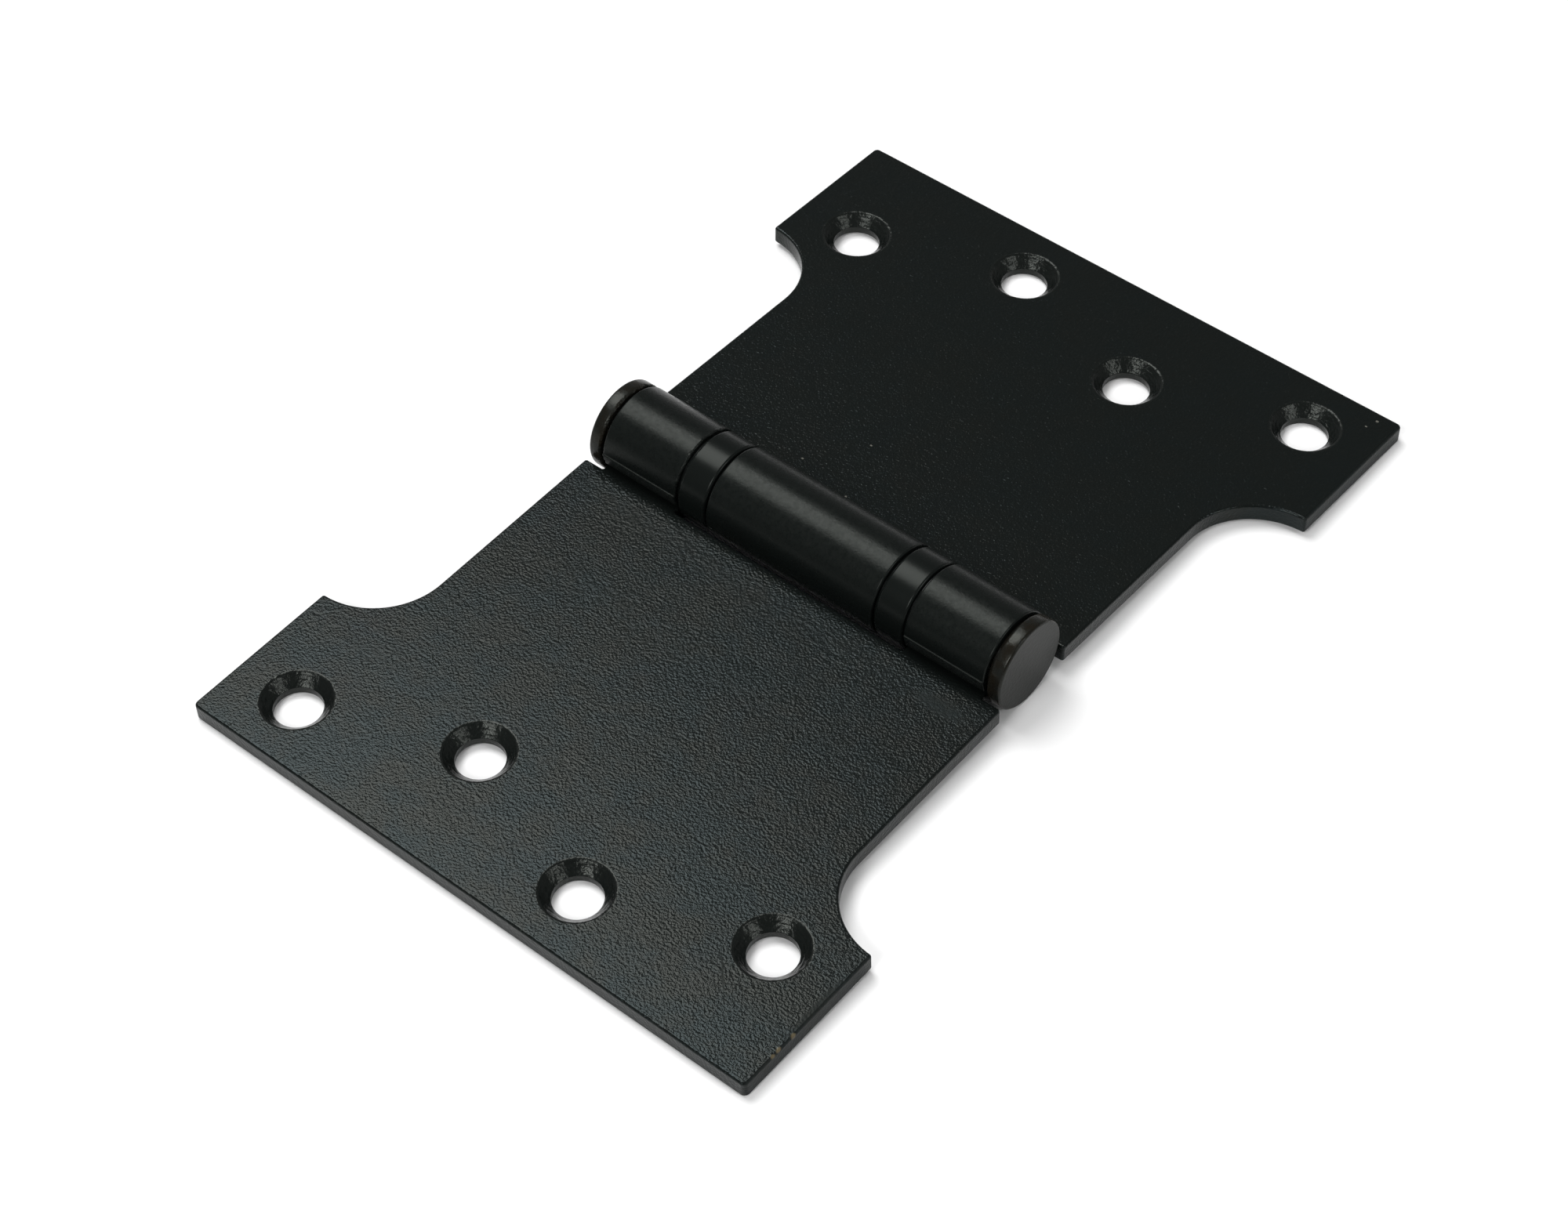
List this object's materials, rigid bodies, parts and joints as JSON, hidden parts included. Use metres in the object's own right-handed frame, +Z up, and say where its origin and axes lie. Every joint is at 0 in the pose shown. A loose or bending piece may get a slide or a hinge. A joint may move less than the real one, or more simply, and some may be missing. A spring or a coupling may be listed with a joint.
{
  "type": "parliament hinge",
  "caption": "Parliament hinge lying open: T-shaped leaves with quarter-round notches and staggered countersunk holes, joined by a rolled barrel with ball thrust bearings and flat end plugs.",
  "frame": {"origin": "on the table under the middle of the barrel, with the hinge lying open as in the picture", "axes": "+X along the barrel, -Y towards the leaf with the outer knuckles, +Y towards the leaf with the middle knuckle, +Z up, out of the countersunk faces"},
  "size_m": [0.102, 0.1548, 0.0146],
  "materials": {
    "leaf_coating": "fine-textured black powder coat",
    "plug_coating": "thin black coat, flat ground face",
    "shell_coating": "smooth satin black",
    "pin_steel": "bright drawn",
    "race_steel": "hardened and ground",
    "ball_steel": "polished",
    "cage_brass": "pressed"
  },
  "bodies": {
    "front_leaf": {"leaf_with_outer_knuckles": "leaf_coating", "hinge_pin": "pin_steel", "end_plug_left": "plug_coating", "bearing_shell_left": "shell_coating", "fixed_race_left": "race_steel", "end_plug_right": "plug_coating", "bearing_shell_right": "shell_coating", "fixed_race_right": "race_steel"},
    "back_leaf": {"leaf_with_middle_knuckle": "leaf_coating", "turning_race_left": "race_steel", "turning_race_right": "race_steel"},
    "ball_ring_left": {"ball_cage_left": "cage_brass", "ball_01_left": "ball_steel", "ball_02_left": "ball_steel", "ball_03_left": "ball_steel", "ball_04_left": "ball_steel", "ball_05_left": "ball_steel", "ball_06_left": "ball_steel", "ball_07_left": "ball_steel", "ball_08_left": "ball_steel", "ball_09_left": "ball_steel", "ball_10_left": "ball_steel", "ball_11_left": "ball_steel", "ball_12_left": "ball_steel"},
    "ball_ring_right": {"ball_cage_right": "cage_brass", "ball_01_right": "ball_steel", "ball_02_right": "ball_steel", "ball_03_right": "ball_steel", "ball_04_right": "ball_steel", "ball_05_right": "ball_steel", "ball_06_right": "ball_steel", "ball_07_right": "ball_steel", "ball_08_right": "ball_steel", "ball_09_right": "ball_steel", "ball_10_right": "ball_steel", "ball_11_right": "ball_steel", "ball_12_right": "ball_steel"}
  },
  "joints": [
    {"name": "leaf_swing", "type": "hinge", "parent": "front_leaf", "child": "back_leaf", "pos_m": [0, 0, 0.0073], "axis": [1, 0, 0], "range_deg": [-105, 186]},
    {"name": "ball_ring_left_roll", "type": "hinge", "parent": "front_leaf", "child": "ball_ring_left", "pos_m": [0, 0, 0.0073], "axis": [1, 0, 0], "range_deg": [-52.5, 93]},
    {"name": "ball_ring_right_roll", "type": "hinge", "parent": "front_leaf", "child": "ball_ring_right", "pos_m": [0, 0, 0.0073], "axis": [1, 0, 0], "range_deg": [-52.5, 93]}
  ],
  "couplings": [
    {"joint": "ball_ring_left_roll", "follows": "leaf_swing", "ratio": 0.5},
    {"joint": "ball_ring_right_roll", "follows": "leaf_swing", "ratio": 0.5}
  ]
}
